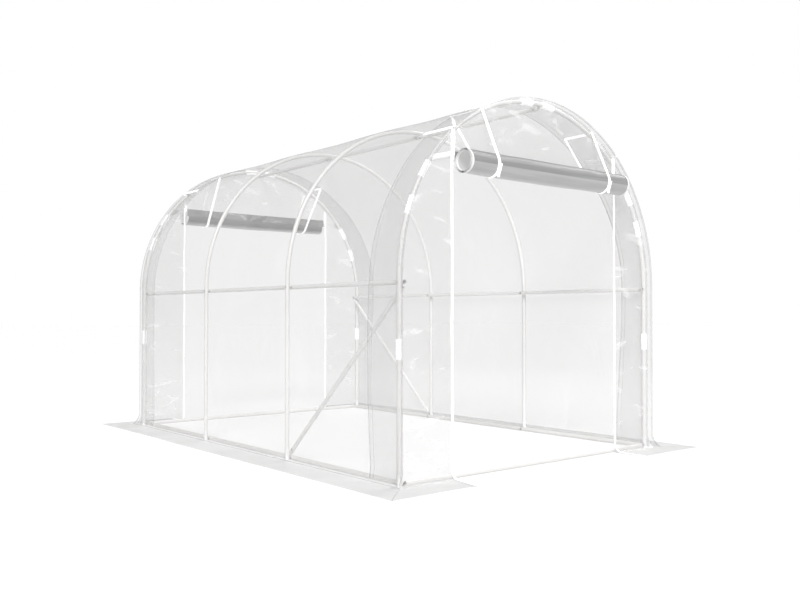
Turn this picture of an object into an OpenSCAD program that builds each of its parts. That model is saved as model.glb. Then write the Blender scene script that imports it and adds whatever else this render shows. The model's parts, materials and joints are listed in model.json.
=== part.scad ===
// Polytunnel greenhouse: four white steel hoops, rails and braces under a clear film cover.
// X runs across the tunnel, Y from the front end to the rear end, Z up from the ground.

/* [Tunnel] */
// Width over the hoop tubes
tunnel_w = 2000; // [1600:50:3000]
// Length from front hoop to rear hoop, centre to centre
tunnel_l = 3000; // [2400:100:6000]
// Height at which the straight legs end and the arches begin
leg_h = 1000; // [800:20:1400]

/* [Tubes] */
// Outside diameter of every frame tube
tube_d = 25; // [19:1:38]
// Wall of the frame tubes
tube_wall = 0.8; // [0.6:0.1:2]
// How far the waist rails' centre line lies below the tops of the legs
waist_drop = 22; // [14:1:300]
// Diameter of the diagonal braces
brace_d = 22; // [16:1:32]
// Clearance between pieces that are bolted or lie together
seat = 0.3; // [0.1:0.1:0.5]

/* [Feet] */
// Thickness of the plastic foot under each leg
foot_t = 3; // [2:1:8]
// Length of the foot's spigot inside the leg
foot_spigot = 20; // [10:5:50]

/* [Film cover] */
// Thickness given to the film
film_t = 2; // [1:0.5:4]
// How far the side and roof film runs past the end hoops' centre line
eave = 52; // [40:2:120]
// Width of the skirt that lies on the ground
skirt_w = 212; // [100:10:400]
// Sideways flare of the skirt's cut edge at the doorway
skirt_flare = 32; // [0:2:80]

/* [Film clips] */
// Length of a film clip along its tube
clip_l = 100; // [60:10:160]
// Wall of a film clip
clip_t = 4; // [2:0.5:8]
// Angle from the ridge to the crown clips
clip_crown_a = 5; // [4:0.5:12]
// Angle from the ridge to the upper shoulder clips
clip_shoulder_a = 57; // [30:1:60]
// Angle from the ridge to the lower shoulder clips
clip_spring_a = 69; // [67:1:84]
// How far the middle of the leg clips lies below the tops of the legs
clip_drop = 345; // [100:5:600]

/* [Doors] */
// Width left beside the doorway, from the outside of the hoop to the zip
side_w = 345; // [200:5:500]
// Width of one half of a zip
zip_w = 13; // [8:1:30]
// How far the zips run back along the roof from the end panel
zip_reach = 215; // [60:5:400]
// Outside diameter of the rolled-up door
roll_d = 128; // [60:2:200]
// Thickness of the rolled layers
roll_wall = 6; // [3:1:20]
// Height of the rolled-up door's centre line above the tops of the legs
roll_rise = 590; // [300:10:700]
// Gap between each end of the roll and the zip
roll_gap = 2; // [1:1:40]

/* [Straps] */
// Width of a door strap
strap_w = 20; // [10:1:40]
// Thickness of a door strap
strap_t = 2; // [1:0.5:4]
// Distance of each strap from the zip beside it
strap_inset = 205; // [80:5:400]
// How far back from the end hoop the inner strap is sewn to the roof
strap_reach = 190; // [80:10:300]
// Size of the strap buckle: width, length and depth
buckle = [28, 40, 9]; // [5:1:60]
// Angle of the buckle below the outermost line of the roll
buckle_a = 17; // [0:1:40]

/* [Hidden] */
$fn = 96;
end_fn = 180; // the outline of the tunnel's end is cut finer

tube_r = tube_d / 2;
waist_h = leg_h - waist_drop;
clip_leg_h = leg_h - clip_drop;
arch_r = tunnel_w / 2 - tube_r;            // centre line of the legs and arches
hoop_y = [for (i = [0:3]) -tunnel_l / 2 + i * tunnel_l / 3];
end_y = tunnel_l / 2;
rail_x = arch_r - tube_d - seat;           // side rails lie on the inside of the legs
brace_x = arch_r - tube_r - brace_d / 2 - seat;
rail_l = tunnel_l + tube_d;                // rails end flush with the hoop tubes
sill_l = 2 * (rail_x - tube_r - seat);

film_off = tube_r + clip_t + 2 * seat;     // from a tube's centre line to the film's inner face
film_r = arch_r + film_off;                // inner face of the roof and walls
panel_y = end_y + film_off;                // inner face of the end panels
panel_out = panel_y + film_t;
cover_l = tunnel_l + 2 * eave;
skirt_x = film_r + film_t + skirt_w;
skirt_y = panel_out + skirt_w;
roof_split = 45;                           // each roof sheet spans this angle

door_w = tunnel_w - 2 * side_w;            // the doorway, from zip to zip
door_x = door_w / 2;
roll_h = leg_h + roll_rise;
roll_r = roll_d / 2;
roll_y = panel_out + seat + roll_r;
roll_l = door_w - 2 * (zip_w + roll_gap);
strap_x = door_x - strap_inset;

white_steel = "#f2f3f1";
white_plastic = "#fbfbfa";
foot_grey = "#8d9092";
clear_film = "#e3e9ea80";
roll_film = "#b9bdbe";

// A hollow tube that stands on the XY plane
module tube(length, d = tube_d) {
    difference() {
        cylinder(h = length, d = d);
        translate([0, 0, -1]) cylinder(h = length + 2, d = d - 2 * tube_wall);
    }
}

// A tube along Y, centred on the origin
module tube_y(length) {
    rotate([90, 0, 0]) translate([0, 0, -length / 2]) tube(length);
}

// Places its children at one side: -1 is left, 1 is right
module at_side(side) {
    translate([side * arch_r, 0, 0]) children();
}

// Turns what is made for the front end round to the rear end
module at_end(rear) {
    rotate([0, 0, rear ? 180 : 0]) children();
}

// Stands a profile drawn in X and Z upright, filling Y from y0 to y1
module upright(y0, y1) {
    translate([0, y1, 0]) rotate([90, 0, 0]) linear_extrude(y1 - y0) children();
}

// Arc of angle a0 to a1 from +X towards +Z, swept about the hoops' common axis
module swept(a0, a1) {
    translate([0, 0, leg_h]) rotate([90, 0, 0]) rotate([0, 0, a0])
        rotate_extrude(angle = a1 - a0) children();
}

module leg(hoop, side) {
    color(white_steel) translate([0, hoop_y[hoop], foot_t]) at_side(side) tube(leg_h - foot_t);
}

module arch(hoop) {
    color(white_steel) translate([0, hoop_y[hoop], 0]) swept(0, 180) translate([arch_r, 0])
        difference() {
            circle(d = tube_d);
            circle(d = tube_d - 2 * tube_wall);
        }
}

module ridge_rail() {
    color(white_steel) translate([0, 0, leg_h + arch_r - tube_d - seat]) tube_y(rail_l);
}

module side_rail(side, height) {
    color(white_steel) translate([side * rail_x, 0, height]) tube_y(rail_l);
}

// The sill joins the two base rails between the end legs
module sill_rail(rear) {
    color(white_steel) at_end(rear) translate([-sill_l / 2, -end_y, tube_r]) rotate([0, 90, 0]) tube(sill_l);
}

// The brace climbs from the next hoop's foot to the end leg, between the base and waist rails
module brace(rear) {
    low = tube_d + brace_d / 2 + 2 * seat;
    high = waist_h - tube_r - brace_d / 2 - 2 * seat;
    rise = high - low;
    run = tunnel_l / 3;
    slope = atan2(run, rise);
    color(white_steel) at_end(rear) translate([-brace_x, -end_y + run, low]) rotate([slope, 0, 0])
        tube(sqrt(rise * rise + run * run), brace_d);
}

module leg_feet() {
    color(foot_grey) for (y = hoop_y, side = [-1, 1]) translate([0, y, 0]) at_side(side) {
        cylinder(h = foot_t, d = tube_d);
        cylinder(h = foot_t + foot_spigot, d = tube_d - 2 * tube_wall - 2 * seat);
    }
}

module clip_ring() {
    difference() {
        circle(r = tube_r + seat + clip_t);
        circle(r = tube_r + seat);
    }
}

module film_clips(rear) {
    span = clip_l / arch_r * 180 / PI;
    angles = [for (a = [clip_crown_a, clip_shoulder_a, clip_spring_a], side = [-1, 1]) 90 + side * a];
    color(white_plastic) at_end(rear) translate([0, -end_y, 0]) {
        for (a = angles) swept(a - span / 2, a + span / 2) translate([arch_r, 0]) clip_ring();
        for (side = [-1, 1]) at_side(side) translate([0, 0, clip_leg_h - clip_l / 2])
            linear_extrude(clip_l) clip_ring();
    }
}

// Each wall film stands on its skirt and ends where the roof film begins
module wall_film(side) {
    color(clear_film) translate([side * (film_r + film_t / 2), 0, (film_t + leg_h) / 2])
        cube([film_t, cover_l, leg_h - film_t], center = true);
}

module roof_film(a0) {
    color(clear_film) translate([0, cover_l / 2, 0]) swept(a0, a0 + roof_split)
        translate([film_r, 0]) square([film_t, cover_l]);
}

// Outline of a whole tunnel end, standing on the skirt, clear of the roof film
module end_outline() {
    intersection() {
        union() {
            translate([0, leg_h]) circle(r = film_r - seat, $fn = end_fn);
            translate([-film_r + seat, film_t]) square([2 * (film_r - seat), leg_h - film_t]);
        }
        translate([-film_r, film_t]) square([2 * film_r, leg_h + film_r]);
    }
}

module end_panel(rear, side) {
    color(clear_film) at_end(rear) upright(-panel_out, -panel_y) intersection() {
        end_outline();
        translate([side > 0 ? door_x : -film_r, 0]) square([film_r - door_x, leg_h + film_r]);
    }
}

module door_head(rear) {
    color(clear_film) at_end(rear) upright(-panel_out, -panel_y) intersection() {
        end_outline();
        translate([-door_x, roll_h]) square([door_w, leg_h + film_r - roll_h]);
    }
}

// One zip: a half below the roll, both halves above it, a run on the skirt and one on the roof
module zip(side) {
    roof_a = 90 - side * asin(door_x / (film_r + film_t));
    roof_span = 2 * zip_w / (film_r + film_t) * 180 / PI;
    upright(-panel_out - film_t, -panel_out) intersection() {
        end_outline();
        union() {
            translate([side > 0 ? door_x : -door_x - zip_w, 0]) square([zip_w, roll_h]);
            translate([side * door_x - zip_w, roll_h]) square([2 * zip_w, leg_h + film_r]);
        }
    }
    translate([0, 0, film_t]) linear_extrude(film_t) polygon([
        [side * door_x, -panel_out - film_t], [side * (door_x + zip_w), -panel_out - film_t],
        [side * (door_x + zip_w + skirt_flare), -skirt_y], [side * (door_x + skirt_flare), -skirt_y],
    ]);
    translate([0, -panel_out + zip_reach, 0]) swept(roof_a - roof_span / 2, roof_a + roof_span / 2)
        translate([film_r + film_t + seat, 0]) square([film_t, zip_reach]);
}

module zips(rear) {
    color(white_plastic) at_end(rear) for (side = [-1, 1]) zip(side);
}

module door_roll(rear) {
    color(roll_film) at_end(rear) translate([-roll_l / 2, -roll_y, roll_h]) rotate([0, 90, 0])
        difference() {
            cylinder(h = roll_l, r = roll_r);
            translate([0, 0, -1]) cylinder(h = roll_l + 2, r = roll_r - roll_wall);
        }
}

// The strap's path in Y and Z: down from under the eave, round the roll, back up inside the roof
strap_edge = strap_x + strap_w / 2;
strap_top = leg_h + sqrt(pow(film_r - seat, 2) - pow(strap_edge, 2)) - seat;
strap_r = roll_r + seat + strap_t / 2;
strap_out = [-panel_out - seat - strap_t / 2, strap_top];
strap_in = [-end_y + strap_reach, strap_top];
to_out = strap_out - [-roll_y, roll_h];
to_in = strap_in - [-roll_y, roll_h];
leave_a = atan2(to_out[1], to_out[0]) + acos(strap_r / norm(to_out));
join_a = 360 + atan2(to_in[1], to_in[0]) - acos(strap_r / norm(to_in));
arc_steps = 24;

function on_roll(a, r) = [-roll_y + r * cos(a), roll_h + r * sin(a)];

function strap_side(offset) =
    let (out_n = offset * [cos(leave_a), sin(leave_a)], in_n = offset * [cos(join_a), sin(join_a)])
    concat(
        [strap_out + out_n],
        [for (i = [0:arc_steps]) on_roll(leave_a + (join_a - leave_a) * i / arc_steps, strap_r + offset)],
        [strap_in + in_n]
    );

function reversed(list) = [for (i = [len(list) - 1:-1:0]) list[i]];

// One strap with its buckle on the outer side of the roll, just below the middle
module strap() {
    rotate([90, 0, 90]) translate([0, 0, -strap_w / 2]) linear_extrude(strap_w)
        polygon(concat(strap_side(strap_t / 2), reversed(strap_side(-strap_t / 2))));
    translate([0, -roll_y, roll_h]) rotate([180 + buckle_a, 0, 0])
        translate([-buckle[0] / 2, roll_r + seat, -buckle[1] / 2]) cube([buckle[0], buckle[2], buckle[1]]);
}

module straps(rear) {
    color(white_plastic) at_end(rear) for (x = [-strap_x, strap_x]) translate([x, 0, 0]) strap();
}

module side_skirts() {
    color(clear_film) for (side = [-1, 1])
        translate([side > 0 ? film_r : -skirt_x, -skirt_y, 0]) cube([skirt_x - film_r, 2 * skirt_y, film_t]);
}

// The end skirts stop at the doorway, where their cut edges flare outwards
module end_skirts(rear) {
    color(clear_film) at_end(rear) for (side = [-1, 1]) linear_extrude(film_t) polygon([
        [side * door_x, -panel_y], [side * film_r, -panel_y],
        [side * film_r, -skirt_y], [side * (door_x + skirt_flare), -skirt_y],
    ]);
}

leg(0, -1);  // front_left_leg
leg(0, 1);  // front_right_leg
arch(0);  // front_arch
leg(1, -1);  // second_left_leg
leg(1, 1);  // second_right_leg
arch(1);  // second_arch
leg(2, -1);  // third_left_leg
leg(2, 1);  // third_right_leg
arch(2);  // third_arch
leg(3, -1);  // rear_left_leg
leg(3, 1);  // rear_right_leg
arch(3);  // rear_arch
ridge_rail();
side_rail(-1, waist_h);  // left_waist_rail
side_rail(1, waist_h);  // right_waist_rail
side_rail(-1, tube_r);  // left_base_rail
side_rail(1, tube_r);  // right_base_rail
sill_rail(false);  // front_sill_rail
sill_rail(true);  // rear_sill_rail
brace(false);  // left_brace
brace(true);  // right_brace
leg_feet();
film_clips(false);  // front_film_clips
film_clips(true);  // rear_film_clips
wall_film(-1);  // left_wall_film
wall_film(1);  // right_wall_film
roof_film(135);  // roof_film_left_lower
roof_film(90);  // roof_film_left_upper
roof_film(45);  // roof_film_right_upper
roof_film(0);  // roof_film_right_lower
end_panel(false, -1);  // front_left_panel
end_panel(false, 1);  // front_right_panel
door_head(false);  // front_door_head
end_panel(true, 1);  // rear_left_panel
end_panel(true, -1);  // rear_right_panel
door_head(true);  // rear_door_head
zips(false);  // front_zips
zips(true);  // rear_zips
door_roll(false);  // front_door_roll
door_roll(true);  // rear_door_roll
straps(false);  // front_straps
straps(true);  // rear_straps
side_skirts();
end_skirts(false);  // front_skirts
end_skirts(true);  // rear_skirts
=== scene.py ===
import json
import math
import random

import bpy
import numpy as np
from mathutils import Matrix, Vector


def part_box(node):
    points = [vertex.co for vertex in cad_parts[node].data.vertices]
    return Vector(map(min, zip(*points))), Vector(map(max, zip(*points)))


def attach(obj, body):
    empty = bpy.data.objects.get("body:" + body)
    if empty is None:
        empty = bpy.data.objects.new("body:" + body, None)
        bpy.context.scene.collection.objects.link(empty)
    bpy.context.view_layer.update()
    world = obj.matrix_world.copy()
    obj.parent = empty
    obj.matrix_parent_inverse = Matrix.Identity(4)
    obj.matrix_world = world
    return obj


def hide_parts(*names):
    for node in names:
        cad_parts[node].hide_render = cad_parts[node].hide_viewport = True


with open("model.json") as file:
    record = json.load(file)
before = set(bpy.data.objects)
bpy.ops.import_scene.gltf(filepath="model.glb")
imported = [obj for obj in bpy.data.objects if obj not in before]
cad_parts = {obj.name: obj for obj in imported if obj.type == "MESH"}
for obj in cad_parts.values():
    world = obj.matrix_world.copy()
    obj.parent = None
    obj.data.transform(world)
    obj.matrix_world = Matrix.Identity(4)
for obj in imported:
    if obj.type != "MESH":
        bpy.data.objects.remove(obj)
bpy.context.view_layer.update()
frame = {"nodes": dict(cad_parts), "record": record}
nodes = frame["nodes"]
ends = {"front": -1, "rear": 1}
sides = {"left": -1, "right": 1}


def low(node):
    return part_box(node)[0]


def high(node):
    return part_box(node)[1]


def middle(node):
    return (low(node) + high(node)) / 2


# sizes that everything hangs on, read from the frame
legX = middle("front_right_leg").x
tubeRadius = (high("front_right_leg").x - low("front_right_leg").x) / 2
legTop = high("front_right_leg").z
hoopY = [middle(name + "_arch").y for name in ("front", "second", "third", "rear")]
endY = hoopY[-1]
railX = middle("right_waist_rail").x
railEnd = high("right_waist_rail").y
waistZ = middle("right_waist_rail").z
ridgeZ = middle("ridge_rail").z
filmRadius = high("roof_film_right_lower").x   # outer face of walls and roof
eaveY = high("left_wall_film").y
panelY = -middle("front_right_panel").y
doorX = low("front_right_panel").x
doorHeadZ = low("front_door_head").z
skirtX, skirtY = high("side_skirts").x, high("side_skirts").y
rollMiddle = middle("front_door_roll")
rollRadius = (high("front_door_roll").z - low("front_door_roll").z) / 2
rollHalf = high("front_door_roll").x
clipRadius = high("front_film_clips").x - legX
print("frame read: hoops at", [round(y, 3) for y in hoopY])

view = {"place": (-3.5864, -4.6672, 0.8178), "heading": 39.435, "rise": 1.033, "lens": 38.57}

camera = bpy.data.objects.new("camera", bpy.data.cameras.new("camera"))
bpy.context.scene.collection.objects.link(camera)
camera.location = view["place"]
camera.rotation_euler = (math.radians(90 + view["rise"]), 0, math.radians(-view["heading"]))
camera.data.lens = view["lens"]
camera.data.sensor_width = 36
bpy.context.scene.camera = camera


class Value:
    # a node's output that can be used in sums, such as 1 - mask * 0.5
    def __init__(self, paint, socket):
        self.paint, self.socket = paint, socket

    def maths(self, operation, *terms, clamp=False):
        settings = {"operation": operation, "use_clamp": clamp}
        return self.paint.node("ShaderNodeMath", settings, dict(enumerate(terms)))

    def __add__(self, other):
        return self.maths("ADD", self, other)

    def __sub__(self, other):
        return self.maths("SUBTRACT", self, other)

    def __rsub__(self, other):
        return self.maths("SUBTRACT", other, self)

    def __mul__(self, other):
        return self.maths("MULTIPLY", self, other)

    def __pow__(self, other):
        return self.maths("POWER", self, other)

    __radd__ = __add__
    __rmul__ = __mul__

    def held(self):
        return self.maths("ADD", self, 0.0, clamp=True)   # kept between 0 and 1


class Paint:
    # the nodes of one material, or of the room round the object
    def __init__(self, owner):
        owner.use_nodes = True
        self.owner, self.tree = owner, owner.node_tree
        self.tree.nodes.clear()

    def node(self, kind, settings=None, inputs=None, output=0):
        made = self.tree.nodes.new(kind)
        for key, value in (settings or {}).items():
            setattr(made, key, value)
        for key, value in (inputs or {}).items():
            if isinstance(value, Value):
                self.tree.links.new(value.socket, made.inputs[key])
            else:
                made.inputs[key].default_value = value
        return Value(self, made.outputs[output]) if made.outputs else None

    def place(self):
        return self.node("ShaderNodeTexCoord", output="Object")

    def flat(self):
        return self.node("ShaderNodeUVMap", {"uv_map": "flat"})   # coordinates on the flat cut, in metres

    def part(self, where, axis):
        return self.node("ShaderNodeSeparateXYZ", {}, {0: where}, "XYZ".index(axis))

    def stretched(self, where, scale):
        return self.node("ShaderNodeMapping", {}, {"Vector": where, "Scale": scale})

    def noise(self, where, scale, detail=3.0, rough=0.5, twist=0.0):
        return self.node("ShaderNodeTexNoise", {}, {"Vector": where, "Scale": scale, "Detail": detail,
                                                    "Roughness": rough, "Distortion": twist})

    def blend(self, share, first, second):
        return self.node("ShaderNodeMix", {"data_type": "RGBA"}, {0: share, 6: first, 7: second}, 2)

    def bump(self, height, strength, distance):
        return self.node("ShaderNodeBump", {}, {"Strength": strength, "Distance": distance, "Height": height})

    def finish(self, **inputs):
        named = {key.replace("_", " "): value for key, value in inputs.items()}
        surface = self.node("ShaderNodeBsdfPrincipled", {}, named)
        self.node("ShaderNodeOutputMaterial", {}, {"Surface": surface})
        return self.owner


def newPaint(name):
    return Paint(bpy.data.materials.new(name))


def grey(level, warmth=0.0):
    return (level + warmth, level, level - warmth, 1.0)


steelLook = {"paint": 0.73, "worn": 0.60, "dust": (0.50, 0.47, 0.42, 1), "gloss": 0.30, "peel": 700.0}


def paintedSteel():
    p = newPaint("paintedSteel")
    place = p.place()
    cloud = p.noise(place, 2.3, 4)
    speck = p.noise(place, 130, 2)
    peel = p.noise(place, steelLook["peel"], 1)
    scuff = ((p.noise(p.stretched(place, (1, 1, 0.25)), 38, 4, 0.6) - 0.65) * 9).held()
    dust = ((0.08 - p.part(place, "Z")) * 8 * cloud).held()
    base = p.blend(cloud, grey(steelLook["paint"] - 0.03, 0.006), grey(steelLook["paint"] + 0.03, 0.006))
    base = p.blend(scuff * 0.35, base, grey(steelLook["worn"]))
    base = p.blend(dust * 0.4, base, steelLook["dust"])
    return p.finish(Base_Color=base, Roughness=steelLook["gloss"] + cloud * 0.12 + scuff * 0.18 + dust * 0.2,
                    Coat_Weight=0.25, Coat_Roughness=0.12, Normal=p.bump(peel + speck * 0.6, 0.10, 0.0006))


def mouldedPlastic(name, level, gloss, glow=0.0):
    # glow: a painted glow, an emission that makes the white plastic look brighter than the light on it would
    p = newPaint(name)
    cloud, grain = p.noise(p.place(), 9, 3), p.noise(p.place(), 900, 2)
    base = p.blend(cloud, grey(level - 0.04), grey(level + 0.03))
    return p.finish(Base_Color=base, Roughness=gloss + cloud * 0.15, Emission_Color=grey(1.0),
                    Emission_Strength=glow, Normal=p.bump(grain, 0.12, 0.0005))


def zincPlate():
    p = newPaint("zincPlate")
    cloud, grain = p.noise(p.place(), 60, 3), p.noise(p.place(), 500, 2)
    base = p.blend(cloud, grey(0.36), grey(0.52, 0.01))
    return p.finish(Base_Color=base, Metallic=0.75, Roughness=0.32 + grain * 0.3,
                    Normal=p.bump(grain, 0.2, 0.0003))


# the last seven are the painted highlight streaks: tone, level, edge, share, haze, drift and scale
filmLook = {"tone": 0.56, "shade": 0.49, "haze": 0.30, "edgeHaze": 0.12, "gloss": 0.18, "shine": 0.5,
            "coat": 0.25, "paintedHighlight": 0.90, "above": 0.56, "crisp": 4, "share": 0.30, "thick": 0.03,
            "drift": (1.0, 3.0, 1.0), "size": 1.6}
endLook = dict(filmLook, haze=0.27, above=0.585, crisp=8, share=0.8, thick=0.12,
               drift=(1.0, 2.2, 1.0), size=5.2)
skirtFilmLook = dict(filmLook, haze=0.63, tone=0.55, shade=0.48, share=0.1, gloss=0.42, shine=0.2, coat=0.0)


def clearFilm(name, look):
    # thin film: mostly see-through, with painted highlights, bright streaks of reflection where it is
    # creased, hazier where it is seen edge on
    p = newPaint(name)
    flat = p.flat()
    cloud = p.noise(p.stretched(flat, (1, 1.6, 1)), 1.5, 2, 0.5, 0.5)
    drift = p.noise(p.stretched(flat, look["drift"]), look["size"], 1, 0.35, 1.2)
    # painted highlight: bright streaks in the colour and alpha that stand in for reflections on the creases
    paintedHighlight = ((drift - look["above"]) * look["crisp"]).held()
    ripple = p.noise(flat, 4.5, 1, 0.4, 0.4)
    edge = p.node("ShaderNodeLayerWeight", {}, {"Blend": 0.25}, "Facing") ** 3
    base = p.blend(((cloud - 0.35) * 3).held(), grey(look["shade"], 0.002), grey(look["tone"], 0.002))
    base = p.blend(paintedHighlight * look["share"], base, grey(look["paintedHighlight"]))
    alpha = (look["haze"] - 0.05 + cloud * 0.10 + paintedHighlight * look["thick"] + edge * look["edgeHaze"]).held()
    return p.finish(Base_Color=base, Alpha=alpha, Roughness=look["gloss"] + ripple * 0.10, IOR=1.5,
                    Specular_IOR_Level=look["shine"], Coat_Weight=look["coat"], Coat_Roughness=0.10,
                    Normal=p.bump(ripple, 0.30, 0.006))


rollLook = {"upper": 0.275, "lower": 0.41, "foot": 0.66, "shade": 0.24, "haze": 0.92, "gloss": 0.38,
            "edgeAt": 0.187, "footBelow": 0.17, "inside": 0.38}


def rolledFilm():
    # many layers of film: the outer turn's edge shows as a step along the roll, and the inside has a painted
    # glow
    p = newPaint("rolledFilm")
    flat = p.flat()
    run = p.part(flat, "Y")
    bands = p.noise(p.stretched(flat, (0.5, 14, 1)), 3.0, 3, 0.5)
    ripple = p.noise(p.stretched(flat, (1.2, 8, 1)), 6, 2, 0.5, 0.4)
    step = ((run - rollLook["edgeAt"]) * 300).held()
    inner = ((run - 1.25) * 30).held()
    foot = ((rollLook["footBelow"] - run) * 9).held()
    base = p.blend(foot, grey(rollLook["lower"]), grey(rollLook["foot"]))
    base = p.blend(step, base, grey(rollLook["upper"]))
    base = p.blend(((bands - 0.45) * 0.6).held(), base, grey(rollLook["foot"]))
    # the side against the end film and the top are in shade
    shade = (((0.08 - run) * 25).held() + ((run - 0.24) * 30).held()).held()
    base = p.blend(shade, base, grey(rollLook["shade"]))
    # painted glow: the inner turns emit light, standing in for light that gets in through the layers
    glow = p.blend(inner, grey(0.0), grey(rollLook["inside"]))
    return p.finish(Base_Color=base, Alpha=(rollLook["haze"] + bands * 0.08).held(), Emission_Color=glow,
                    Emission_Strength=1.0, Roughness=rollLook["gloss"] + ripple * 0.12 + shade * 0.40,
                    Specular_IOR_Level=0.1, Coat_Weight=0.04, Coat_Roughness=0.20,
                    Normal=p.bump(ripple + bands, 0.25, 0.003))


def weave(name, level, across, along, glow=0.0):
    # woven tape: threads cross at the scale of the flat cut
    p = newPaint(name)
    flat = p.flat()
    warp, weft = [p.node("ShaderNodeTexWave", {"bands_direction": way},
                         {"Vector": flat, "Scale": scale, "Distortion": 0.6})
                  for way, scale in (("X", across), ("Y", along))]
    cloud = p.noise(flat, 14, 3)
    thread = warp * 0.55 + weft * 0.45
    base = p.blend((thread * 0.6 + cloud * 0.4).held(), grey(level - 0.10, 0.004), grey(level, 0.004))
    # glow: a painted glow, an emission that makes the tape look brighter than the light on it would
    return p.finish(Base_Color=base, Roughness=0.72 + cloud * 0.15, Sheen_Weight=0.2,
                    Emission_Color=grey(1.0), Emission_Strength=glow, Normal=p.bump(thread, 0.5, 0.0007))


finishes = {
    "tube_steel": paintedSteel(),
    "foot_plastic": mouldedPlastic("footPlastic", 0.42, 0.42),
    # clips, zips, straps and the side tape get a painted glow, the last number
    "clip_plastic": mouldedPlastic("clipPlastic", 0.93, 0.35, 0.28),
    "clear_film": clearFilm("coverFilm", filmLook),
    "skirt": clearFilm("skirtFilm", skirtFilmLook),
    "end_film": clearFilm("endFilm", endLook),
    "roll_film": rolledFilm(),
    "zip_tape": weave("zipTape", 0.95, 160, 160, 0.45),
    "strap_webbing": weave("strapWebbing", 0.95, 110, 130, 0.45),
    "side_tape": weave("sideTape", 0.80, 110, 130, 0.08),
    "sleeve_plastic": mouldedPlastic("sleevePlastic", 0.80, 0.40),
    "fixings": zincPlate(),
}
clearNames = ("coverFilm", "endFilm", "skirtFilm")
print("finishes made:", ", ".join(finishes))


class Shape:
    # gathers points, faces and flat coordinates, then makes one mesh of them
    def __init__(self):
        self.points, self.faces, self.flats, self.count = [], [], [], 0

    def add(self, points, faces, flats=None):
        points = np.asarray(points, float).reshape(-1, 3)
        flats = points[:, :2] if flats is None else np.asarray(flats, float).reshape(-1, 2)
        self.points.append(points)
        self.flats.append(flats)
        self.faces += [tuple(int(i) + self.count for i in face) for face in faces]
        self.count += len(points)

    def grid(self, points, flats=None, closed=False):
        # rows of points joined into a sheet; closed joins each row's last point to its first
        points = np.asarray(points, float)
        rows, columns = points.shape[:2]
        index = np.arange(rows * columns).reshape(rows, columns)
        here = np.arange(columns if closed else columns - 1)
        beside = (here + 1) % columns
        quads = [index[:-1][:, here], index[:-1][:, beside], index[1:][:, beside], index[1:][:, here]]
        self.add(points, np.stack(quads, -1).reshape(-1, 4), flats)

    def lathe(self, profile, place, axis, steps=20):
        # profile: pairs of distance along the axis and radius
        turn = Vector(axis).to_track_quat("Z", "Y").to_matrix()
        angles = np.linspace(0, 2 * math.pi, steps, endpoint=False)
        rings = [[Vector(place) + turn @ Vector((r * math.cos(a), r * math.sin(a), h)) for a in angles]
                 for h, r in profile]
        self.grid(np.array(rings), closed=True)

    def block(self, place, size, turn=None, soft=0.25):
        # a block whose corners are rounded off by a share of its least side
        turn = turn or Matrix.Identity(3)
        inset = min(size) * soft * 0.7
        points, faces = [], []
        for level, narrow in ((-1, 1), (-1, 0), (1, 0), (1, 1)):
            for sx, sy in ((-1, -1), (1, -1), (1, 1), (-1, 1)):
                for ix, iy in ((1, 0), (0, 1)) if sx * sy > 0 else ((0, 1), (1, 0)):
                    x = sx * (size[0] / 2 - inset * (ix + narrow))
                    y = sy * (size[1] / 2 - inset * (iy + narrow))
                    z = level * (size[2] / 2 - inset * (1 - narrow))
                    points.append(Vector(place) + turn @ Vector((x, y, z)))
        for k in range(3):
            here, after = k * 8, k * 8 + 8
            faces += [(here + i, here + (i + 1) % 8, after + (i + 1) % 8, after + i) for i in range(8)]
        faces += [tuple(range(7, -1, -1)), tuple(range(24, 32))]
        self.add(points, faces)

    def ribbon(self, line, wide, width, thick, ripple=0.0):
        # a flat band along a line: wide is its width direction, one for all or one for each point
        line = np.asarray(line, float)
        wide = np.broadcast_to(np.asarray(wide, float), line.shape)
        ahead = np.gradient(line, axis=0)
        ahead /= np.linalg.norm(ahead, axis=1, keepdims=True)
        out = np.cross(ahead, wide)
        out /= np.linalg.norm(out, axis=1, keepdims=True)
        edge = thick * 0.35
        section = [(-0.5, -0.5 + edge / thick), (-0.5, 0.5 - edge / thick), (-0.5 + edge / width, 0.5),
                   (0.5 - edge / width, 0.5), (0.5, 0.5 - edge / thick), (0.5, -0.5 + edge / thick),
                   (0.5 - edge / width, -0.5), (-0.5 + edge / width, -0.5)]
        lift = (np.zeros(len(line)) + ripple)[:, None]
        rings = np.stack([line + wide * width * a + out * (thick * b + lift) for a, b in section], 1)
        run = np.concatenate([[0], np.cumsum(np.linalg.norm(np.diff(line, axis=0), axis=1))])
        flats = np.stack([np.stack([np.full(len(line), a * width), run], -1) for a, b in section], 1)
        start = self.count
        self.grid(rings, flats, closed=True)
        last = start + (len(line) - 1) * 8
        self.faces += [tuple(start + i for i in range(7, -1, -1)), tuple(last + i for i in range(8))]

    def make(self, name, finish, stands=(), slot=None, sharp=None):
        mesh = bpy.data.meshes.new(name)
        points, flats = np.concatenate(self.points), np.concatenate(self.flats)
        mesh.from_pydata(points.tolist(), [], self.faces)
        mesh.update()
        mesh.polygons.foreach_set("use_smooth", [True] * len(mesh.polygons))
        if sharp:
            mesh.set_sharp_from_angle(angle=math.radians(sharp))
        corners = np.zeros(len(mesh.loops), np.int32)
        mesh.loops.foreach_get("vertex_index", corners)
        mesh.uv_layers.new(name="flat").data.foreach_set("uv", flats[corners].astype(np.float32).ravel())
        mesh.materials.append(finish)
        made = bpy.data.objects.new(name, mesh)
        bpy.context.scene.collection.objects.link(made)
        made.visible_shadow = finish.name not in clearNames   # clear film hardly dims the light
        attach(made, "root")
        if stands:
            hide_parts(*stands)
        return made


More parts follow.
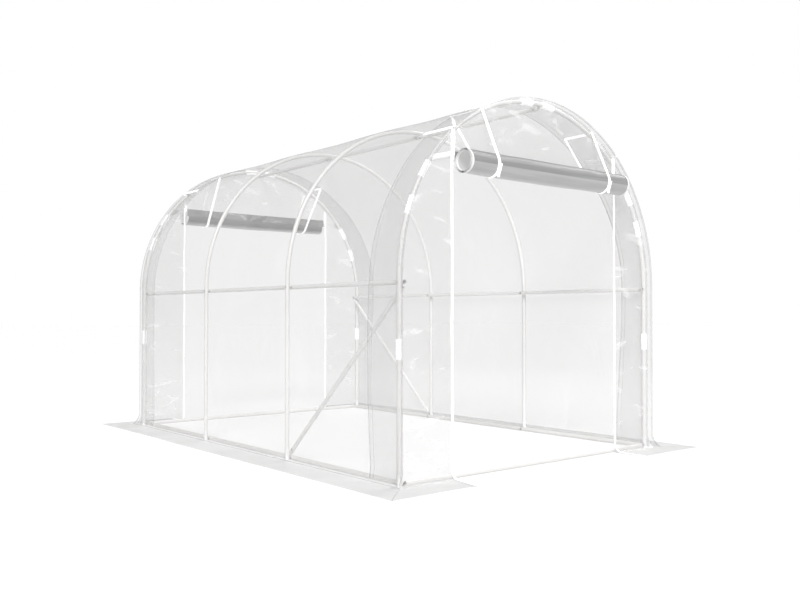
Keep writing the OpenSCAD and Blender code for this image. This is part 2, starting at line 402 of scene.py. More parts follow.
def foldField(u, v, folds):
    # height of many soft creases over flat coordinates u and v
    height = np.zeros_like(u)
    for f in folds:
        along = (u - f["u"]) * f["du"] + (v - f["v"]) * f["dv"]
        across = (v - f["v"]) * f["du"] - (u - f["u"]) * f["dv"] + f["bend"] * along ** 2
        height += f["height"] * np.exp(-np.abs(across / f["width"]) ** 1.6 - (along / f["length"]) ** 2)
    return height


def scatterFolds(seed, count, uRange, vRange, heading, spread, length, width, height):
    dice = random.Random(seed)
    folds = []
    for _ in range(count):
        angle = math.radians(heading + dice.uniform(-spread, spread))
        folds.append({"u": dice.uniform(*uRange), "v": dice.uniform(*vRange), "du": math.cos(angle),
                      "dv": math.sin(angle), "bend": dice.uniform(-0.5, 0.5), "length": dice.uniform(*length),
                      "width": dice.uniform(*width), "height": dice.choice((-1, 1)) * dice.uniform(*height)})
    return folds


def softNoise(u, v, seed, scale):
    # slow waves, the same each time
    dice = random.Random(seed)
    total = np.zeros_like(u)
    for _ in range(7):
        a, b, c = dice.uniform(-1, 1), dice.uniform(-1, 1), dice.uniform(0, 6.28)
        total += np.sin((u * a + v * b) * scale + c)
    return total / 7


coverLook = {"sag": 0.007, "wave": 0.0035, "mostIn": 0.016, "mostOut": 0.003, "mostInAtEnds": 0.0008,
             "flare": 0.034, "flareFrom": 0.085, "rows": 300, "columns": 196}
archRadius = filmRadius - 0.001
quarter = math.pi * archRadius / 2
halfPath = quarter + legTop


def overArch(s, radius):
    # place and outward direction at the flat distance s from the ridge, in X and Z
    s = np.asarray(s, float)
    angle = np.clip(s / archRadius, -math.pi / 2, math.pi / 2)
    below = np.maximum(np.abs(s) - quarter, 0)
    x, z = radius * np.sin(angle), legTop + radius * np.cos(angle) - below
    return x, z, np.sin(angle), np.cos(angle)


def coverPoints(s, y, radius, folds, seed):
    look = coverLook
    x, z, nx, nz = overArch(s, radius)
    bay = (y - hoopY[0]) / (hoopY[1] - hoopY[0])
    inside = (bay > 0) & (bay < 3)
    between = np.where(inside, np.sin(np.pi * (bay % 1)) ** 2, 0)
    lift = -look["sag"] * between * (0.6 + 0.4 * nz)
    lift += softNoise(s, y, seed, 5.5) * look["wave"] * (0.25 + between) - 0.0008
    lift += foldField(s, y, folds) * (0.45 + 0.55 * between)
    lift = np.clip(lift, -look["mostIn"], look["mostOut"])
    lift = np.where(np.abs(y) > endY - 0.03, np.clip(lift, -look["mostInAtEnds"], look["mostOut"]), lift)
    turn = np.clip((look["flareFrom"] - z) / look["flareFrom"], 0, 1) ** 2
    corner = np.clip((np.abs(y) - endY + 0.05) / 0.1, 0, 1)
    x = x + nx * lift + np.sign(x) * turn * look["flare"] * (0.5 + 0.9 * corner)
    z = z + nz * lift
    y = y + np.sign(y) * turn * corner * 0.03
    return np.stack([x, y, np.maximum(z, 0.0025)], -1)


# pulled folds: long slow ones over the roof, short ones at the shoulders and near the ground
coverFolds = (
    scatterFolds(3, 26, (-2.4, 2.4), (-1.4, 1.4), 90, 24, (0.25, 0.8), (0.020, 0.045), (0.0010, 0.0028))
    + scatterFolds(4, 12, (-2.0, -0.9), (-1.45, -0.9), 55, 30, (0.08, 0.3), (0.014, 0.03), (0.0012, 0.0030))
    + scatterFolds(5, 10, (0.9, 2.4), (-1.5, -0.9), 120, 35, (0.08, 0.3), (0.014, 0.03), (0.0010, 0.0024))
    + scatterFolds(6, 14, (-2.5, 2.5), (0.7, 1.5), 80, 50, (0.08, 0.35), (0.014, 0.03), (0.0010, 0.0024))
    + scatterFolds(8, 12, (-2.5, -1.6), (-1.4, 1.4), 20, 35, (0.15, 0.4), (0.018, 0.035), (0.0008, 0.0022))
)
coverSeed = 11
s, y = np.meshgrid(np.linspace(-halfPath, halfPath, coverLook["rows"]),
                   np.linspace(-eaveY, eaveY, coverLook["columns"]), indexing="ij")
shape = Shape()
shape.grid(coverPoints(s, y, archRadius, coverFolds, coverSeed), np.stack([s, y], -1))
cover = shape.make("film_cover", finishes["clear_film"],
                   ("left_wall_film", "right_wall_film", "roof_film_left_lower", "roof_film_left_upper",
                    "roof_film_right_upper", "roof_film_right_lower"), "clear_film")

# a narrow hem along each eave, with one welded line in it
hemLook = {"width": 0.014, "line": 0.0022, "off": 0.0008, "lineOff": 0.0012, "rows": 240}
for end, sign in ends.items():
    shape = Shape()
    run, t = np.meshgrid(np.linspace(-halfPath + 0.01, halfPath - 0.01, hemLook["rows"]),
                         np.linspace(0, 1, 3), indexing="ij")
    y = sign * (eaveY - 0.001 - hemLook["width"] * t)
    shape.grid(coverPoints(run, y, archRadius + hemLook["off"], coverFolds, coverSeed),
               np.stack([run, y], -1))
    along = run[:, 0]
    edge = sign * (eaveY - hemLook["width"] + 0 * along)
    line = coverPoints(along, edge, archRadius + hemLook["lineOff"], coverFolds, coverSeed)
    shape.ribbon(line, (0, 1, 0), hemLook["line"], 0.0010)
    shape.make(end + "_eave_hem", finishes["clear_film"], slot="clear_film")
print("cover laid:", round(2 * halfPath, 3), "by", round(2 * eaveY, 3))

# each end's cap turns back along the roof and walls as a second layer, with a welded edge
returnLook = {"reach": 0.225, "wander": 0.022, "weld": 0.009, "rows": 260, "columns": 16}
for end, sign in ends.items():
    s, t = np.meshgrid(np.linspace(-halfPath + 0.02, halfPath - 0.02, returnLook["rows"]),
                       np.linspace(0, 1, returnLook["columns"]), indexing="ij")
    inner = endY - returnLook["reach"] + 0.02 + softNoise(s, s * 0, 21 + sign, 3.4) * returnLook["wander"] * 2
    y = sign * (panelY + (inner - panelY) * t)
    folds = scatterFolds(31 + sign, 26, (-2.5, 2.5), (-1.6, 1.6), 90, 50, (0.05, 0.16), (0.012, 0.024),
                         (0.0006, 0.0016))
    points = coverPoints(s, y, archRadius - 0.0025, folds, 12)
    shape = Shape()
    shape.grid(points, np.stack([s, y], -1))
    cap = shape.make(end + "_cap_return", finishes["clear_film"], slot="clear_film")
    shape = Shape()
    x, z, nx, nz = overArch(s[:, 0], 1.0)
    for edge, width in ((-1, returnLook["weld"]), (-3, 0.003)):
        shape.ribbon(points[:, edge] - np.stack([nx, 0 * nx, nz], -1) * 0.0008, (0, 1, 0), width, 0.0008)
    weld = shape.make(end + "_cap_weld", finishes["clear_film"], slot="clear_film")
print("end returns laid")

panelLook = {"rows": 150, "columns": 44, "wave": 0.0022, "most": 0.0035, "flare": 0.036, "flareFrom": 0.07}
panelRadius = archRadius - 0.003


def panelPoints(x, z, sign, folds, seed):
    lift = softNoise(x * 3, z * 2.2, seed, 3.0) * panelLook["wave"] + foldField(x, z, folds)
    edge = np.clip((panelRadius - np.hypot(x, np.maximum(z - legTop, 0))) / 0.04, 0, 1)
    lift = np.clip(lift * edge, -panelLook["most"], panelLook["most"])
    turn = np.clip((panelLook["flareFrom"] - z) / panelLook["flareFrom"], 0, 1) ** 2
    y = sign * (panelY + lift + turn * panelLook["flare"])
    return np.stack([x, y, np.maximum(z, 0.0025)], -1)


for end, sign in ends.items():
    for side, hand in sides.items():
        seed = 40 + sign * 3 + hand
        angle, t = np.meshgrid(np.linspace(0, math.acos(doorX / panelRadius), panelLook["columns"]),
                               np.linspace(0, 1, panelLook["rows"]), indexing="ij")
        x = hand * panelRadius * np.cos(angle)
        z = t * (legTop + panelRadius * np.sin(angle))
        folds = (
            scatterFolds(seed, 9, (-1, 1), (0.1, 1.6), 90, 14, (0.15, 0.5), (0.012, 0.024), (0.0007, 0.0016))
            + scatterFolds(seed + 100, 10, (-1, 1), (0.0, 1.7), 55 if hand > 0 else 125, 35, (0.05, 0.2),
                           (0.010, 0.020), (0.0006, 0.0016))
        )
        shape = Shape()
        shape.grid(panelPoints(x, z, sign, folds, seed), np.stack([x, z], -1))
        piece = shape.make(end + "_" + side + "_end_film", finishes["end_film"],
                           (end + "_" + side + "_panel",), "clear_film")
    # the film over the door, from zip to zip
    x, t = np.meshgrid(np.linspace(-doorX, doorX, 120), np.linspace(0, 1, 44), indexing="ij")
    rise = legTop + np.sqrt(panelRadius ** 2 - x ** 2) - doorHeadZ
    folds = (
        scatterFolds(60 + sign, 14, (-0.6, 0.6), (1.6, 2.0), 78, 35, (0.05, 0.18), (0.012, 0.024),
                     (0.0008, 0.0020))
        + scatterFolds(63 + sign, 5, (-0.6, 0.6), (1.6, 1.9), 15, 20, (0.1, 0.3), (0.014, 0.026),
                       (0.0007, 0.0016))
    )
    z = doorHeadZ + t * rise
    shape = Shape()
    shape.grid(panelPoints(x, z, sign, folds, 70 + sign), np.stack([x, z], -1))
    head = shape.make(end + "_head_film", finishes["end_film"], (end + "_door_head",), "clear_film")

skirtLook = {"flare": (0.036, 0.004), "wave": 0.003, "rows": 230, "columns": 18, "seam": 0.007}
tuck = filmRadius - 0.008
for side, hand in sides.items():
    flares = skirtLook["flare"] if hand < 0 else skirtLook["flare"][::-1]
    inner = np.array([(doorX, -panelY), (tuck, -panelY), (tuck, panelY), (doorX, panelY)]) * (hand, 1)
    outer = np.array([(doorX + flares[0], -skirtY), (skirtX, -skirtY), (skirtX, skirtY),
                      (doorX + flares[1], skirtY)]) * (hand, 1)
    # evenly spaced places along the three runs, keeping the corners
    runs = np.linalg.norm(np.diff(inner, axis=0), axis=1)
    places = [np.linspace(k, k + 1, max(int(skirtLook["rows"] * run / runs.sum()), 6), endpoint=False)
              for k, run in enumerate(runs)]
    places = np.append(np.concatenate(places), 3.0)
    a, b = [np.stack([np.interp(places, range(4), corners[:, k]) for k in (0, 1)], -1)
            for corners in (inner, outer)]
    away = np.linspace(0, 1, skirtLook["columns"])
    flat = a[:, None] * (1 - away)[None, :, None] + b[:, None] * away[None, :, None]
    x, y = flat[..., 0], flat[..., 1]
    folds = (
        scatterFolds(80 + hand, 24, (-1.2, 1.2), (-1.7, 1.7), 0, 35, (0.05, 0.16), (0.014, 0.035),
                     (0.001, 0.0026))
        + scatterFolds(84 + hand, 16, (-1.2, 1.2), (-1.7, 1.7), 85, 30, (0.1, 0.4), (0.014, 0.035),
                       (0.001, 0.0026))
    )
    z = 0.0045 + softNoise(x * 2, y, 90 + hand, 6.0) * skirtLook["wave"] + foldField(x, y, folds)
    x = x + np.sign(x) * softNoise(x, y, 95 + hand, 9.0) * 0.004 * away ** 3   # the cut edge wanders a little
    x = np.clip(x, -skirtX - 0.006, skirtX + 0.006)
    points = np.stack([x, y, np.clip(z * (0.35 + 0.65 * away), 0.0012, 0.012)], -1)
    shape = Shape()
    shape.grid(points, flat)
    skirt = shape.make(side + "_skirt", finishes["skirt"], ("side_skirts", "front_skirts", "rear_skirts"),
                       "clear_film")
    # welded mitre at both corners
    shape = Shape()
    for corner in (1.0, 2.0):
        line = points[int(np.argmin(np.abs(places - corner)))] + (0, 0, 0.0010)
        ahead = line[-1] - line[0]
        wide = np.array([-ahead[1], ahead[0], 0]) / np.hypot(ahead[0], ahead[1]) * skirtLook["seam"] / 2
        shape.grid(np.stack([line - wide, line + wide], 1))
    seam = shape.make(side + "_skirt_seams", finishes["clear_film"], slot="clear_film")
    area = (skirtX - tuck) * 2 * skirtY + 2 * (skirtY - panelY) * (tuck - doorX - sum(flares) / 4)
print("skirts laid:", round(area, 3), "square metres each")

# teethTo and teethFrom are in radians, from the outer and the inner end
rollLayout = {"turns": 4.6, "pitch": 0.0027, "steps": 260, "columns": 60, "fall": 0.055, "fallRows": 6,
              "inset": 0.0015, "tape": 0.013, "tapeOff": (0.0007, -0.0009), "tooth": (0.0024, 0.0024, 0.0030),
              "teethTo": 7.2, "teethFrom": 5.5}
turns = np.linspace(0, rollLayout["turns"] * 2 * math.pi, rollLayout["steps"])
coil = rollRadius - 0.0006 - rollLayout["pitch"] * turns / (2 * math.pi)


def rollPoints(sign, a, radius, x):
    # angle 0 is at the back, against the end film, and grows downwards
    sway = 0.0011 * np.sin(x * 5.0 + a * 1.7) + 0.0007 * np.sin(x * 13.0 - a * 3.1 + sign)
    sag = -0.0025 * (1 - (x / rollHalf) ** 2)
    y = sign * abs(rollMiddle.y) - sign * (radius + sway * (a > 0.6)) * np.cos(a)
    z = rollMiddle.z - (radius + sway) * np.sin(a) + sag
    return np.stack([x, y, z], -1)


for end, sign in ends.items():
    width = rollHalf - rollLayout["inset"]
    x = np.linspace(-width, width, rollLayout["columns"])
    aa, xx = np.meshgrid(turns, x, indexing="ij")
    points = rollPoints(sign, aa, coil[:, None] + 0 * aa, xx)
    # the short fall from the head film to the roll
    lead = np.linspace(rollLayout["fall"], 0.004, rollLayout["fallRows"])
    against = 0 * x + sign * (panelY + 0.0006)
    fall = np.stack([np.stack([x, against, points[0, :, 2] + up], -1) for up in lead])
    points = np.concatenate([fall, points])
    steps = np.hypot(np.diff(coil * np.cos(turns)), np.diff(coil * np.sin(turns)))
    run = np.concatenate([-lead, [0], np.cumsum(steps)])
    shape = Shape()
    shape.grid(points, np.stack(np.broadcast_arrays(x[None, :], run[:, None]), -1))
    roll = shape.make(end + "_rolled_door", finishes["roll_film"], (end + "_door_roll",), "roll_film")
    # white zip tape with its teeth along both edges of the door, rolled up with it
    shape = Shape()
    for hand in (-1, 1):
        xs = hand * (rollHalf - rollLayout["tape"] * np.array([1, 0]))
        aa, xx = np.meshgrid(turns, xs, indexing="ij")
        for lift in rollLayout["tapeOff"]:
            shape.grid(rollPoints(sign, aa, coil[:, None] + lift + 0 * aa, xx),
                       np.stack(np.broadcast_arrays(xx, run[rollLayout["fallRows"]:, None]), -1))
        # teeth show on the outer turn and on the last one
        for a, radius in list(zip(turns, coil))[::2]:
            if rollLayout["teethTo"] < a < turns[-1] - rollLayout["teethFrom"]:
                continue
            spot = rollPoints(sign, a, radius, hand * (rollHalf + 0.0004))
            shape.block(spot, rollLayout["tooth"], Matrix.Rotation(-sign * a, 3, "X"))
    tape = shape.make(end + "_roll_zip_tape", finishes["side_tape"], slot="zip_tape")
print("doors rolled up: turns", rollLayout["turns"])

zipLook = {"tape": 0.013, "thick": 0.0012, "off": 0.0028, "curve": 0.05, "lies": 0.0065, "pitch": 0.0042,
           "tooth": (0.0016, 0.0034, 0.0022), "toothAt": 0.44, "toothOff": 0.0009,
           "roofOff": 0.0012, "roofTooth": (0.0030, 0.0022, 0.0016), "tab": (0.012, 0.003, 0.030),
           "slider": (0.010, 0.0045, 0.014), "pull": (0.0055, 0.0016, 0.022)}
roofRun = abs(high("front_zips").y)
for end, sign in ends.items():
    shape, metal = Shape(), Shape()
    for hand in sides.values():
        flare = skirtLook["flare"][0] if (hand < 0) == (sign < 0) else skirtLook["flare"][1]
        tapeY = panelY + zipLook["off"]
        topZ = legTop + math.sqrt((filmRadius - 0.004) ** 2 - doorX ** 2)
        bend, lies = zipLook["curve"], zipLook["lies"]
        # down the end film, round a soft bend and out over the skirt
        path = [(tapeY, z) for z in np.linspace(topZ, lies + bend + 0.01, 90)]
        path += [(tapeY + bend * (1 - math.cos(t)), lies + bend * (1 - math.sin(t)))
                 for t in np.linspace(0, math.pi / 2, 14)]
        path += [(yy, lies) for yy in np.linspace(tapeY + bend + 0.01, skirtY - 0.002, 16)]
        path = np.array(path)
        onSkirt = np.clip((path[:, 0] - tapeY) / (skirtY - tapeY), 0, 1)
        wobble = 0.0014 * np.sin(path[:, 1] * 9 + hand + sign) + 0.0008 * np.sin(path[:, 1] * 23)
        centre = hand * (doorX + zipLook["tape"] / 2 + flare * onSkirt) + wobble
        line = np.stack([centre, sign * path[:, 0], path[:, 1]], -1)
        shape.ribbon(line, (1, 0, 0), zipLook["tape"], zipLook["thick"])
        # the other half of the zip stays joined above the roll
        above = line[path[:, 1] > doorHeadZ + 0.03] - np.array([hand * zipLook["tape"], 0, 0])
        shape.ribbon(above, (1, 0, 0), zipLook["tape"], zipLook["thick"])
        # teeth along the inner edge
        run = np.concatenate([[0], np.cumsum(np.linalg.norm(np.diff(line, axis=0), axis=1))])
        for place in np.arange(0.004, run[-1], zipLook["pitch"]):
            spot, after = [Vector([np.interp(at, run, line[:, k]) for k in range(3)])
                           for at in (place, place + 0.002)]
            ahead = (after - spot).normalized()
            inward = Vector((-hand * zipLook["tape"] * zipLook["toothAt"], 0, 0))
            lift = ahead.cross(Vector((1, 0, 0))).normalized() * -zipLook["toothOff"] * sign
            turn = ahead.to_track_quat("Z", "X").to_matrix()
            shape.block(spot + inward + lift, zipLook["tooth"], turn)
        # run back along the roof
        angle = hand * math.asin(doorX / filmRadius)
        out = np.array([math.sin(angle), 0, math.cos(angle)])
        wide = np.array([math.cos(angle), 0, -math.sin(angle)])
        base = np.array([0, 0, legTop]) + out * (filmRadius + zipLook["roofOff"])
        ys = sign * np.linspace(panelY + 0.004, roofRun, 40)
        line = np.array([base + (0, yy, 0) for yy in ys])
        for shift in (-0.5, 0.5):
            shape.ribbon(line + wide * shift * zipLook["tape"], wide, zipLook["tape"], zipLook["thick"])
        turn = Matrix(np.array([wide, [0, 1, 0], out]).T.tolist())
        for yy in np.arange(min(ys) + 0.003, max(ys), zipLook["pitch"]):
            shape.block(Vector(base + out * 0.001 + (0, yy, 0)), zipLook["roofTooth"], turn)
        # loop of tape standing up where the zip reaches the roof
        shape.block(Vector(base + out * 0.014 + (0, sign * (panelY + 0.022), 0)), zipLook["tab"], turn)
        # slider with its pull, parked above the roll
        spot = Vector((hand * (doorX + 0.002), sign * (panelY + 0.0045), doorHeadZ + 0.035))
        metal.block(spot, zipLook["slider"])
        metal.block(spot + Vector((0, sign * 0.0022, -0.014)), zipLook["pull"])
    shape.make(end + "_zip_tapes", finishes["zip_tape"], (end + "_zips",), "zip_tape", sharp=40)
    metal.make(end + "_zip_sliders", finishes["clip_plastic"], slot="clip_plastic", sharp=40)
print("zips closed above the doors")

strapLook = {"at": 0.45, "innerAt": 0.468, "width": 0.020, "thick": 0.0016, "top": 1.889,
             "sewn": (1.31, 1.883), "buckle": 17, "sideBars": (-0.0122, 0.0122),
             "sideBar": (0.0036, 0.040, 0.0046), "crossBars": (-0.018, -0.006, 0.006, 0.018),
             "crossBar": (0.022, 0.0044, 0.0042), "barSoft": 0.3, "tail": (0.01, 0.05)}
for end, sign in ends.items():
    shape, plastic = Shape(), Shape()
    hold = rollRadius + 0.0014
    axisY, axisZ = abs(rollMiddle.y), rollMiddle.z - 0.002

    def leaves(point, way):
        # angle at which a strap from this point touches the roll
        dy, dz = point[0] - axisY, point[1] - axisZ
        return math.atan2(dz, dy) + way * math.acos(hold / math.hypot(dy, dz))

    def onRoll(a):
        return np.array([axisY + hold * math.cos(a), axisZ + hold * math.sin(a)])

    # down from the eave, under the roll and up inside to the roof
    top, back = np.array([panelY + 0.0045, strapLook["top"]]), np.array(strapLook["sewn"])
    leave, join = leaves(top, -1), leaves(back, 1)
    join -= 2 * math.pi if join > leave else 0
    path = [top * (1 - t) + onRoll(leave) * t for t in np.linspace(0, 0.97, 22)]
    path += [onRoll(a) for a in np.linspace(leave, join, 40)]
    path += [onRoll(join) * (1 - t) + back * t for t in np.linspace(0.03, 1, 26)]
    path = np.array(path)
    share = np.linspace(0, 1, len(path))
    for hand in sides.values():
        lean = strapLook["at"] + (strapLook["innerAt"] - strapLook["at"]) * np.clip((share - 0.6) / 0.4, 0, 1)
        line = np.stack([hand * lean, sign * path[:, 0], path[:, 1]], -1)
        shape.ribbon(line, (1, 0, 0), strapLook["width"], strapLook["thick"],
                     0.0006 * np.sin(share * 34) * np.sin(share * math.pi))
        # sewn on along the roof, from the hoop to the seam
        ys = np.linspace(back[0], endY - 0.02, 12)
        rise = legTop + math.sqrt((filmRadius - 0.007) ** 2 - strapLook["innerAt"] ** 2)
        roof = np.stack([np.full(12, hand * strapLook["innerAt"]), sign * ys, np.full(12, rise)], -1)
        slope = hand * math.asin(strapLook["innerAt"] / filmRadius)
        shape.ribbon(roof, (math.cos(slope), 0, -math.sin(slope)), strapLook["width"], strapLook["thick"])
        # buckle: two side bars, four cross bars and a tail of webbing
        a = -math.radians(strapLook["buckle"])
        across, outward = Vector((1, 0, 0)), Vector((0, sign * math.cos(a), math.sin(a)))
        along = across.cross(outward)
        turn = Matrix((across, along, outward)).transposed()
        seat = Vector((hand * strapLook["at"], sign * axisY, axisZ)) + outward * (hold + 0.0030)
        for shift in strapLook["sideBars"]:
            plastic.block(seat + across * shift, strapLook["sideBar"], turn, strapLook["barSoft"])
        for shift in strapLook["crossBars"]:
            plastic.block(seat + along * shift, strapLook["crossBar"], turn, strapLook["barSoft"])
        fallWay = -1 if along.z > 0 else 1
        tail = [seat + along * fallWay * t + outward * (0.0025 + 0.05 * t) + across * 0.002 * hand * t
                for t in np.linspace(*strapLook["tail"], 9)]
        shape.ribbon(np.array(tail), (1, 0, 0), strapLook["width"] * 0.92, strapLook["thick"])
    shape.make(end + "_straps_and_buckles", finishes["strap_webbing"], (end + "_straps",), "strap_webbing",
               sharp=50)
    plastic.make(end + "_buckles", finishes["clip_plastic"], slot="clip_plastic", sharp=40)
print("straps tied")

# a short tape sewn level with the roll, beside each front and rear zip
patchLook = {"from": 0.675, "to": 0.800, "z": 1.628, "fall": 0.27, "width": 0.028, "thick": 0.0012}
for end, sign in ends.items():
    shape = Shape()
    for hand in sides.values():
        xs = np.linspace(patchLook["from"], patchLook["to"], 24)
        rise = patchLook["z"] - patchLook["fall"] * (xs - xs[0]) + 0.0012 * np.sin(xs * 60)
        line = np.stack([hand * xs, np.full(24, sign * (panelY + 0.0052)), rise], -1)
        shape.ribbon(line, (0, 0, 1), patchLook["width"], patchLook["thick"])
    shape.make(end + "_sewn_tapes", finishes["side_tape"], slot="strap_webbing", sharp=50)
print("side tapes sewn")

clipLook = {"angles": (5, 57, 69), "length": 0.100, "bore": tubeRadius + 0.0003, "ribs": 6, "rib": 0.0026,
            "legZ": 0.655, "gap": 50, "steps": 61}


def addClip(shape, line, away):
    # line: places along the tube; away: the side on which the clip is open
    look = clipLook
    run = np.linspace(0, 1, len(line))
    ridge = (np.sin(run * look["ribs"] * 2 * math.pi - math.pi / 2) * 0.5 + 0.5) ** 0.6
    lip = np.clip(np.minimum(run, 1 - run) / 0.03, 0, 1) ** 0.5
    outer = clipRadius - 0.0002 - look["rib"] * (1 - ridge) - 0.0012 * (1 - lip)
    half = math.radians(180 - look["gap"] / 2)
    turns = np.linspace(-half, half, 26)
    ahead = np.gradient(line, axis=0)
    ahead /= np.linalg.norm(ahead, axis=1, keepdims=True)
    front = np.broadcast_to(-np.array(away, float), line.shape)
    side = np.cross(ahead, front)
    rounds = front[:, None] * np.cos(turns)[None, :, None] + side[:, None] * np.sin(turns)[None, :, None]
    outside = line[:, None] + outer[:, None, None] * rounds
    inside = line[:, None] + look["bore"] * rounds[:, ::-1]
    start, n = shape.count, len(turns)
    shape.grid(np.concatenate([outside, inside], 1), closed=True)
    for base in (start, start + (len(line) - 1) * 2 * n):
        shape.faces += [(base + i, base + i + 1, base + 2 * n - 2 - i, base + 2 * n - 1 - i)
                        for i in range(n - 1)]


for end, sign in ends.items():
    shape = Shape()
    spread = clipLook["length"] / legX / 2
    steps = clipLook["steps"]
    for hand in sides.values():
        for a in clipLook["angles"]:
            t = hand * math.radians(a) + np.linspace(-spread, spread, steps)
            line = np.stack([legX * np.sin(t), np.full(steps, sign * endY), legTop + legX * np.cos(t)], -1)
            addClip(shape, line, (0, -sign, 0))
        z = clipLook["legZ"] + np.linspace(-0.5, 0.5, steps) * clipLook["length"]
        line = np.stack([np.full(steps, hand * legX), np.full(steps, sign * endY), z], -1)
        addClip(shape, line, (0, -sign, 0))
    shape.make(end + "_ribbed_clips", finishes["clip_plastic"], (end + "_film_clips",), "clip_plastic",
               sharp=40)
print("clips snapped on")

fixLook = {"head": 0.0052, "washer": 0.0078, "beside": 0.018}


def panHead(shape, place, axis, scale=1.0):
    r, w = fixLook["head"] * scale, fixLook["washer"] * scale
    shape.lathe([(-0.001, 0.0), (-0.001, w), (0.0007, w), (0.0009, w * 0.96), (0.0009, r), (0.0022, r * 0.93),
                 (0.0032, r * 0.6), (0.0034, r * 0.34), (0.0024, r * 0.3), (0.0024, 0.0)], place, axis)


def capNut(shape, place, axis):
    r = fixLook["head"]
    shape.lathe([(-0.0005, 0.0), (-0.0005, r * 1.5), (0.0008, r * 1.5), (0.0008, r * 1.15),
                 (0.0055, r * 1.15), (0.0085, r * 0.8), (0.0105, r * 0.35), (0.0108, 0.0)], place, axis, 12)


sleeves, fixings, collars = Shape(), Shape(), Shape()
r = tubeRadius
for y in hoopY:
    besides = [y - fixLook["beside"], y + fixLook["beside"]]
    besides = [spot for spot in besides if abs(spot) < railEnd - 0.006]
    for hand in sides.values():
        # foot sleeve with a small lip, flared at the ground
        sleeves.lathe([(0.0006, r + 0.0022), (0.003, r + 0.0022), (0.008, r + 0.0011), (0.052, r + 0.0008),
                       (0.054, r + 0.0016), (0.060, r + 0.0016), (0.0615, r + 0.0006), (0.0615, r - 0.0004)],
                      (hand * legX, y, 0.0), (0, 0, 1), 32)
        # leg and arch meet over a spigot, with a narrow rolled bead on each
        collars.lathe([(-0.009, r - 0.0003), (-0.008, r + 0.0007), (-0.002, r + 0.0008), (-0.001, r - 0.0002),
                       (0.001, r - 0.0002), (0.002, r + 0.0008), (0.008, r + 0.0007), (0.009, r - 0.0003)],
                      (hand * legX, y, legTop + 0.004), (0, 0, 1), 32)
        for z in (waistZ, r):
            capNut(fixings, (hand * (railX - r + 0.0004), y, z), (-hand, 0, 0))
            panHead(fixings, (hand * (legX + r - 0.0012), y, z), (hand, 0, 0), 0.8)
            for spot in besides:
                panHead(fixings, (hand * (railX + r - 0.0004), spot, z), (hand, 0, 0), 0.85)
    for spot in besides:
        for lean in (-1, 1):
            out = Vector((lean * math.sin(0.9), 0, -math.cos(0.9)))
            panHead(fixings, Vector((0, spot, ridgeZ)) + out * (r - 0.0004), out, 0.85)
# each brace is screwed at both ends
for side, sign in (("left", -1), ("right", 1)):
    first, last, hand = low(side + "_brace"), high(side + "_brace"), sides[side]
    outY, inY = (first.y, last.y) if sign < 0 else (last.y, first.y)
    for share in (0.035, 0.965):
        spot = Vector(((first.x + last.x) / 2, inY + (outY - inY) * share,
                       first.z + (last.z - first.z) * share))
        panHead(fixings, spot + Vector((hand * ((last.x - first.x) / 2 - 0.0004), 0, 0)), (hand, 0, 0), 0.8)
# the sill's two halves join in the middle
for sign in ends.values():
    collars.lathe([(-0.030, r - 0.0003), (-0.029, r + 0.0010), (0.029, r + 0.0010), (0.030, r - 0.0003)],
                  (0.0, sign * endY, r + 0.001), (1, 0, 0), 32)
sleeves.make("foot_sleeves", finishes["sleeve_plastic"], slot="clip_plastic", sharp=50)
collars.make("tube_joints", finishes["tube_steel"], slot="tube_steel", sharp=50)
fixings.make("bolts_and_screws", finishes["fixings"], slot="tube_steel", sharp=35)
print("bolts and joints added")

# finishes on the frame's own pieces
for subpart in frame["record"]["subparts"]:
    piece = nodes[subpart["node"]]
    piece.data.materials.clear()
    piece.data.materials.append(finishes[subpart["material_slot"]])

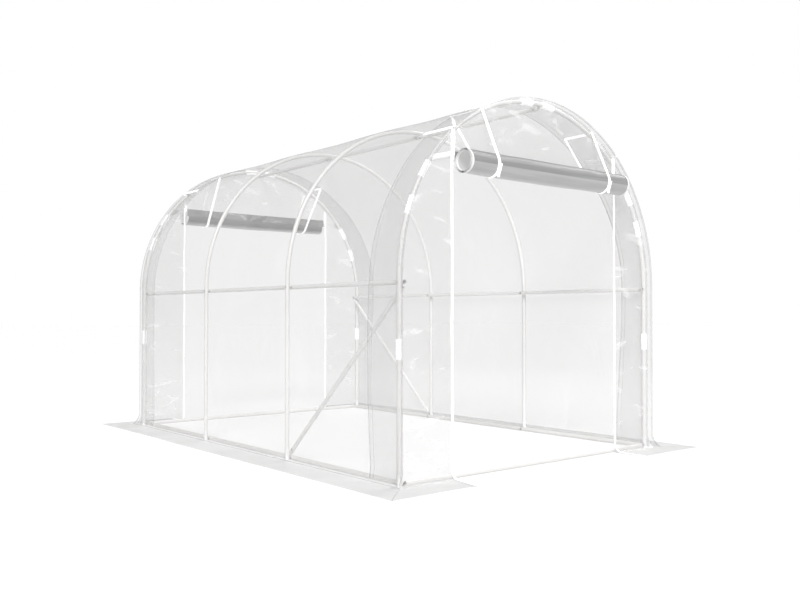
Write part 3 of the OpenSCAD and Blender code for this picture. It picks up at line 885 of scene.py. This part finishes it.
# a plain pale floor, just as bright as the backdrop
floorLook = {"half": 60.0, "below": 0.0008, "tone": 0.55, "glow": 0.395}
floorPaint = newPaint("studioFloor")
mottle = floorPaint.noise(floorPaint.place(), 0.8, 2)
mesh = bpy.data.meshes.new("floor")
far = floorLook["half"]
corners = [(x * far, y * far, -floorLook["below"]) for x, y in ((-1, -1), (1, -1), (1, 1), (-1, 1))]
mesh.from_pydata(corners, [], [(0, 1, 2, 3)])
mesh.materials.append(floorPaint.finish(Base_Color=grey(floorLook["tone"]), Roughness=0.9 + mottle * 0.1,
                                        Specular_IOR_Level=0.1, Emission_Color=grey(1.0),
                                        Emission_Strength=floorLook["glow"]))
floorPiece = bpy.data.objects.new("floor", mesh)
bpy.context.scene.collection.objects.link(floorPiece)

# the room lights the object softly, and is seen as a plain white backdrop
lightLook = {"room": 0.20, "backdrop": 1.0, "key": 3.1, "keySoft": 28, "back": 1.5, "softbox": 30}
bpy.context.scene.world = bpy.data.worlds.new("studio")
room = Paint(bpy.context.scene.world)
soft = room.node("ShaderNodeBackground", {}, {"Color": grey(1.0), "Strength": lightLook["room"]})
wall = room.node("ShaderNodeBackground", {}, {"Color": grey(1.0), "Strength": lightLook["backdrop"]})
seen = room.node("ShaderNodeLightPath", output="Is Camera Ray")
either = room.node("ShaderNodeMixShader", {}, {0: seen, 1: soft, 2: wall})
room.node("ShaderNodeOutputWorld", {}, {"Surface": either})


def addLight(name, kind, place, target, energy, **settings):
    lamp = bpy.data.lights.new(name, kind)
    lamp.energy = energy
    for key, value in settings.items():
        setattr(lamp, key, value)
    made = bpy.data.objects.new(name, lamp)
    made.location = place
    made.rotation_euler = (Vector(target) - Vector(place)).to_track_quat("-Z", "Y").to_euler()
    bpy.context.scene.collection.objects.link(made)


spread = math.radians(lightLook["keySoft"])
addLight("keyLight", "SUN", (-2.9, -3.8, 3.6), (0, 0, 0), lightLook["key"], angle=spread)
addLight("backLight", "SUN", (4.0, 0.6, 3.6), (0, 0, 0), lightLook["back"], angle=spread)
for name, place in (("leftSoftbox", (-5.5, -3.5, 3.6)), ("rightSoftbox", (4.5, 3.5, 4.5))):
    addLight(name, "AREA", place, (0, 0, 1.2), lightLook["softbox"], shape="RECTANGLE", size=0.9, size_y=3.0)
addLight("frontSoftbox", "AREA", (1.5, -6.0, 4.0), (0, -1.0, 1.4), lightLook["softbox"], shape="RECTANGLE",
         size=2.4, size_y=0.9)
bpy.context.scene.view_settings.view_transform = "Standard"
print("floor and lights set")
